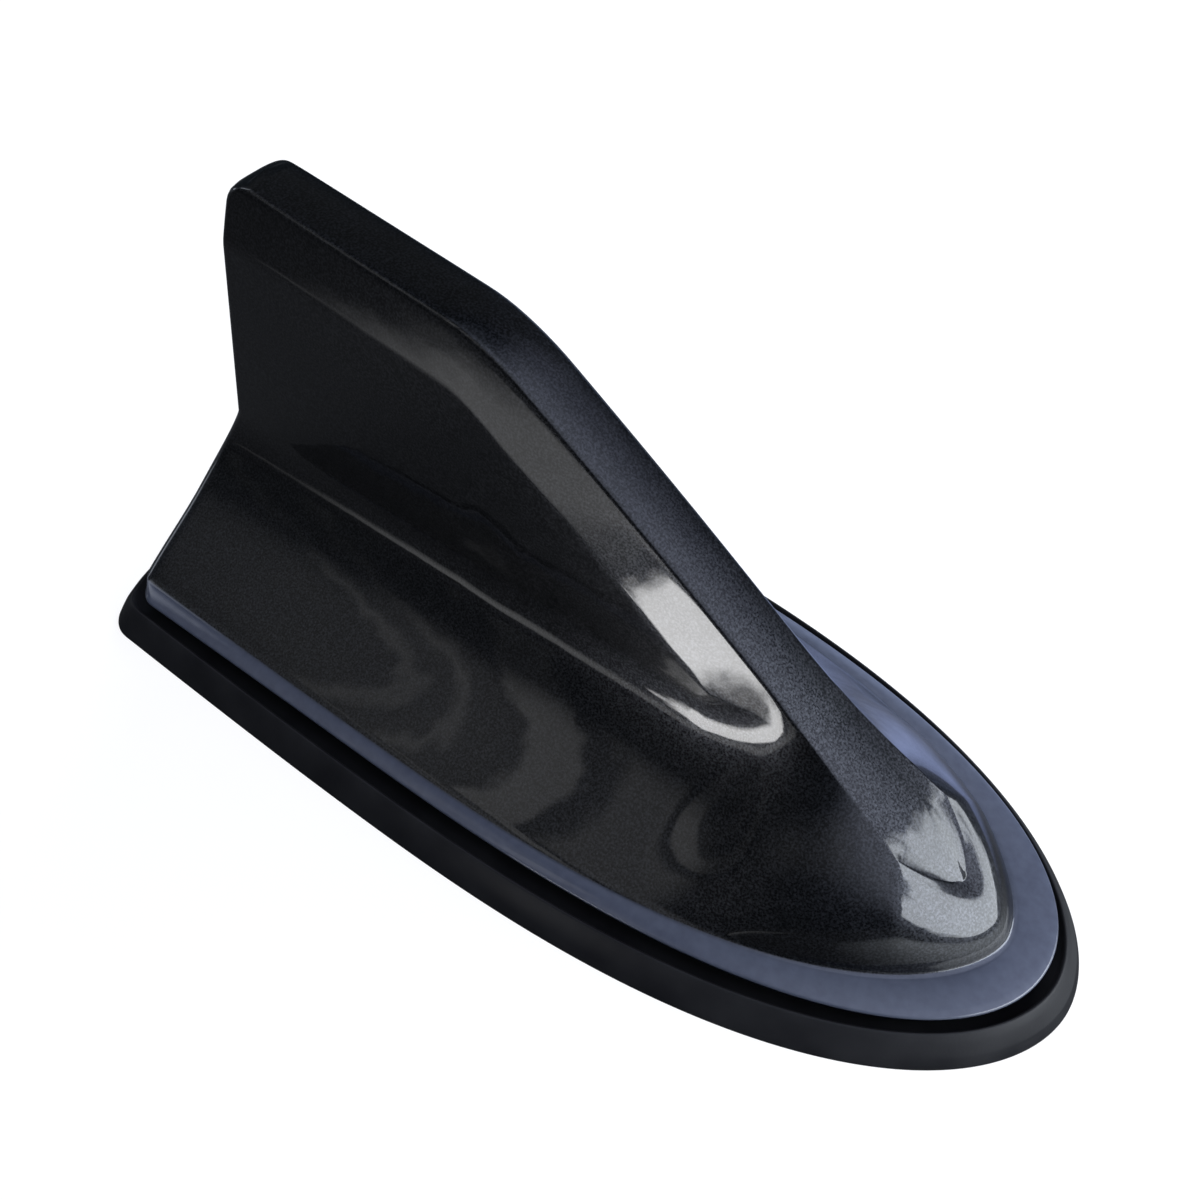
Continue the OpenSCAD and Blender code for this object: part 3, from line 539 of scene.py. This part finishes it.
# Finishes of the CAD pieces: darker and lighter colour, roughness range, metallic, grain scale, bump
FINISHES = dict(
    base_plate=((0.030, 0.030, 0.033), (0.050, 0.050, 0.054), 0.5, 0.7, 0, 900, 0.15),
    adhesive_pad=((0.42, 0.03, 0.02), (0.55, 0.05, 0.03), 0.3, 0.5, 0, 500, 0.1),
    cover_screws=((0.50, 0.50, 0.48), (0.72, 0.71, 0.66), 0.22, 0.4, 1, 1500, 0.05),
    ground_plate=((0.55, 0.55, 0.53), (0.70, 0.70, 0.67), 0.25, 0.45, 1, 800, 0.08),
    amplifier_board=((0.008, 0.075, 0.028), (0.014, 0.12, 0.045), 0.3, 0.45, 0, 450, 0.08),
    shield_can=((0.60, 0.60, 0.60), (0.74, 0.74, 0.73), 0.22, 0.36, 1, 700, 0.06),
    amplifier_chip=((0.012, 0.012, 0.013), (0.022, 0.022, 0.023), 0.5, 0.65, 0, 3000, 0.1),
    filter_coils=((0.030, 0.027, 0.025), (0.060, 0.052, 0.046), 0.4, 0.6, 0, 1800, 0.2),
    board_capacitors=((0.30, 0.22, 0.13), (0.46, 0.36, 0.24), 0.35, 0.5, 0, 2500, 0.1),
    board_screws=((0.50, 0.50, 0.48), (0.72, 0.71, 0.66), 0.22, 0.4, 1, 1500, 0.05),
    coil_former=((0.66, 0.65, 0.60), (0.78, 0.77, 0.72), 0.35, 0.5, 0, 400, 0.05),
    radiator_coil=((0.70, 0.32, 0.16), (0.88, 0.45, 0.26), 0.16, 0.3, 1, 1200, 0.04),
    top_plate=((0.60, 0.60, 0.62), (0.74, 0.74, 0.76), 0.2, 0.36, 1, 700, 0.06),
    anti_rattle_foam=((0.020, 0.020, 0.021), (0.050, 0.050, 0.052), 0.8, 0.95, 0, 2600, 0.7),
    radio_socket=((0.010, 0.011, 0.10), (0.018, 0.020, 0.15), 0.35, 0.5, 0, 600, 0.06),
    satnav_board=((0.008, 0.075, 0.028), (0.014, 0.12, 0.045), 0.3, 0.45, 0, 450, 0.08),
    patch_tape=((0.60, 0.59, 0.52), (0.74, 0.73, 0.66), 0.5, 0.7, 0, 900, 0.2),
    patch_ceramic=((0.58, 0.50, 0.36), (0.72, 0.64, 0.49), 0.45, 0.6, 0, 1500, 0.15),
    patch_face=((0.66, 0.66, 0.67), (0.80, 0.80, 0.80), 0.24, 0.4, 1, 900, 0.08),
    feed_pin=((0.70, 0.50, 0.20), (0.86, 0.66, 0.30), 0.2, 0.34, 1, 1200, 0.04),
    satnav_socket=((0.010, 0.011, 0.16), (0.020, 0.022, 0.26), 0.35, 0.5, 0, 600, 0.06),
    cable_grommet=((0.010, 0.010, 0.011), (0.022, 0.022, 0.023), 0.5, 0.68, 0, 700, 0.15))


def finish_material(name, low, high, smooth, rough, metal, scale, relief):
    m, tree, p = new_material(name)
    grain = noise(tree, float(scale), 4)
    patches = noise(tree, scale * 0.3, 3)
    tree.links.new(ramp(tree, grain, [(0.35, low), (0.65, high)]), p.inputs["Base Color"])
    tree.links.new(ramp(tree, patches, [(0.3, smooth), (0.7, rough)]), p.inputs["Roughness"])
    tree.links.new(bump(tree, grain, relief, 0.0002), p.inputs["Normal"])
    p.inputs["Metallic"].default_value = float(metal)
    return m


# The floor: its shade and its own glow, each as the camera, the gloss and the bounced light see it
FLOOR = dict(size=8, shown=0.8, bounced=0.07, glow=1.06, glow_shown=0.8, glow_gloss=0.01)


def add_floor():
    """A white floor that keeps the shadow and stays dark in the mirror images."""
    bpy.ops.mesh.primitive_plane_add(size=FLOOR["size"], location=(0, 0, 0))
    floor = bpy.context.object
    floor.name = "floor"
    m, tree, p = new_material("floor_pale")
    p.inputs["Roughness"].default_value = 0.9
    p.inputs["Specular IOR Level"].default_value = 0.0
    path = node(tree, "ShaderNodeLightPath")
    shown = path.outputs["Is Camera Ray"]
    shade = map_range(tree, shown, 0.0, 1.0, FLOOR["bounced"], FLOOR["shown"], curve="LINEAR")
    tree.links.new(shade, p.inputs["Base Color"])
    gloss = math_node(tree, "MAXIMUM", path.outputs["Is Glossy Ray"], path.outputs["Is Transmission Ray"])
    gloss = math_node(tree, "MULTIPLY", gloss, FLOOR["glow_gloss"])
    factor = math_node(tree, "MULTIPLY_ADD", shown, FLOOR["glow_shown"], gloss)
    glow = node(tree, "ShaderNodeEmission", Strength=FLOOR["glow"])
    surface = tree.nodes["Material Output"].inputs["Surface"]
    mix_shaders(tree, factor, p.outputs[0], glow.outputs[0], surface)
    floor.data.materials.append(m)


# Soft lobes of the world's light: azimuth and elevation in degrees, inner and outer radius, colour
SKY = [(-15, 44, 20, 52, (1.35, 1.46, 1.8)),
       (0, 90, 6, 26, (0.5, 0.56, 0.7)),
       (38, 46, 8, 30, (0.55, 0.6, 0.82)),
       (95, -5, 10, 32, (0.8, 1.0, 1.5)),
       (-165, 40, 3, 13, (3.0, 3.2, 3.6)),
       (-168, 2, 3, 12, (2.6, 2.8, 3.2))]
SKY_BASE = (0.02, 0.03, 0.042)
# The room on the near side, as blurred upright bands: azimuth in degrees and brightness
ROOM = [(-160, 0.1), (-150, 0.2), (-136, 0.4), (-132.5, 0.4), (-131, 0.95), (-129.5, 0.45), (-127.5, 0.5),
        (-126, 1.05), (-124.5, 0.5), (-120, 0.4), (-118.5, 1.3), (-113.5, 1.15), (-112.5, 0.2),
        (-110.5, 0.25), (-108, 0.75), (-96, 0.6), (-85, 0.3), (-70, 0.35), (-60, 0.1)]
ROOM_LEVEL = 0.6
# Degrees over which the bands waver, and the scale of the noise that moves them
SWAY = dict(swing=3, scale=7.0)
# The bands' strength by height, given as the sine of the elevation: they grow to full, then end
LIFT = dict(start=0.42, full=0.62, dim=0.22, bright=1.8)
FADE = dict(gone=0.95, start=0.8)


def aim(az, el):
    a, e = math.radians(az), math.radians(el)
    return Vector((math.cos(e) * math.cos(a), math.cos(e) * math.sin(a), math.sin(e)))


def add_world():
    """White to the camera; to the part, soft lobes of sky light and the bands of the room."""
    world = bpy.data.worlds.new("world")
    bpy.context.scene.world = world
    world.use_nodes = True
    tree = world.node_tree
    way = node(tree, "ShaderNodeTexCoord").outputs["Generated"]
    red, green, blue = SKY_BASE
    light = node(tree, "ShaderNodeCombineColor", Red=red, Green=green, Blue=blue).outputs["Color"]
    for az, el, inner, outer, colour in SKY:
        near = vector_node(tree, "DOT_PRODUCT", way, aim(az, el))
        part = map_range(tree, near, math.cos(math.radians(outer)), math.cos(math.radians(inner)))
        light = vector_node(tree, "MULTIPLY_ADD", part, colour, light)

    axis = node(tree, "ShaderNodeSeparateXYZ")
    tree.links.new(way, axis.inputs[0])
    turn = math_node(tree, "ARCTAN2", axis.outputs["Y"], axis.outputs["X"])
    swing = math.radians(SWAY["swing"])
    waver = node(tree, "ShaderNodeTexNoise", Scale=SWAY["scale"], Detail=2.0)
    tree.links.new(way, waver.inputs["Vector"])
    centred = math_node(tree, "SUBTRACT", turn, swing / 2)
    turn = math_node(tree, "MULTIPLY_ADD", waver.outputs["Fac"], swing, centred)
    first, last = ROOM[0][0], ROOM[-1][0]
    across = map_range(tree, turn, math.radians(first), math.radians(last), curve="LINEAR")
    bands = ramp(tree, across, [((az - first) / (last - first), v * ROOM_LEVEL) for az, v in ROOM])
    height = axis.outputs["Z"]
    lift = map_range(tree, height, LIFT["start"], LIFT["full"], LIFT["dim"], LIFT["bright"])
    level = math_node(tree, "MULTIPLY", lift, map_range(tree, height, FADE["gone"], FADE["start"]))
    light = vector_node(tree, "MULTIPLY_ADD", bands, level, light)

    seen_by_part = tree.nodes["Background"]
    tree.links.new(light, seen_by_part.inputs["Color"])
    white = node(tree, "ShaderNodeBackground", Color=(1, 1, 1, 1))
    shown = node(tree, "ShaderNodeLightPath").outputs["Is Camera Ray"]
    surface = tree.nodes["World Output"].inputs["Surface"]
    mix_shaders(tree, shown, seen_by_part.outputs[0], white.outputs[0], surface)


# Where the light cards face, in metres, and how far the floor patches lie above the floor
ABOUT = Vector((0.03, 0, 0.03))
PATCH_LIFT = 0.002


def area_light(name, place, target, width, height, radiance, colour):
    """A rectangular light at place, facing target, as bright as radiance."""
    data = bpy.data.lights.new(name, "AREA")
    data.energy = radiance * math.pi * width * height
    data.color = colour
    data.shape = "RECTANGLE"
    data.size = width
    data.size_y = height
    light = bpy.data.objects.new(name, data)
    bpy.context.scene.collection.objects.link(light)
    light.location = place
    light.rotation_mode = "QUATERNION"
    light.rotation_quaternion = (Vector(target) - Vector(place)).to_track_quat("-Z", "Y")
    return light


def soft_edge(light, edge, ragged=0.0):
    """Fades the light out towards its rim, so that its mirror image has no hard outline."""
    light.data.use_nodes = True
    tree = light.data.node_tree
    emission = next(n for n in tree.nodes if n.type == "EMISSION")
    place = node(tree, "ShaderNodeNewGeometry").outputs["Parametric"]
    torn = node(tree, "ShaderNodeTexNoise", Scale=4.0, Detail=4.0)
    tree.links.new(place, torn.inputs["Vector"])
    from_middle = vector_node(tree, "DISTANCE", place, (0.5, 0.5, 0))
    away = math_node(tree, "MULTIPLY_ADD", torn.outputs["Fac"], ragged, from_middle)
    end = 0.5 + ragged / 2
    tree.links.new(map_range(tree, away, end, end - edge), emission.inputs["Strength"])


def card(name, az, el, distance, width, height, radiance, colour):
    """A light panel that faces the part from a direction."""
    return area_light(name, ABOUT + distance * aim(az, el), ABOUT, width, height, radiance, colour)


def low_panel(name, x, y, width, depth, radiance, colour, edge, ragged=0.0):
    """A bright patch on the floor that only the gloss shows."""
    light = area_light(name, (x, y, PATCH_LIFT), (x, y, 1), width, depth, radiance, colour)
    light.visible_camera = False
    light.visible_diffuse = False
    soft_edge(light, edge, ragged)


def add_lights():
    soft_edge(card("front_window", 10, 11.5, 0.6, 1.0, 0.38, 12, (0.88, 0.94, 1.0)), 0.1, 0.45)
    low_panel("front_patch", 0.115, -0.02, 0.1, 0.14, 2.5, (0.86, 0.93, 1.0), 0.4)
    low_panel("near_patch", 0.013, -0.08, 0.044, 0.055, 20, (1.0, 1.0, 1.0), 0.2, 0.4)
    low_panel("near_wide", -0.04, -0.132, 0.28, 0.1, 2.0, (0.98, 0.99, 1.0), 0.35, 0.3)
    low_panel("far_patch", 0.05, 0.08, 0.17, 0.1, 1.8, (0.45, 0.56, 1.0), 0.3)
    far_fill = card("far_fill", 100, 35, 0.5, 0.25, 0.25, 14, (0.9, 0.94, 1.0))
    far_fill.visible_glossy = False


add_camera()
for name, values in FINISHES.items():
    material = finish_material(name, *values)
    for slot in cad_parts[name].material_slots:
        slot.material = material

cover = build_cover()
cover.data.materials.append(paint_material())
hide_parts("fin_cover")
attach(cover, "root")
gasket = build_gasket()
gasket.data.materials.append(rubber_material())
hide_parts("base_gasket")
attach(gasket, "root")

add_floor()
add_world()
add_lights()
bpy.context.scene.view_settings.view_transform = "Standard"
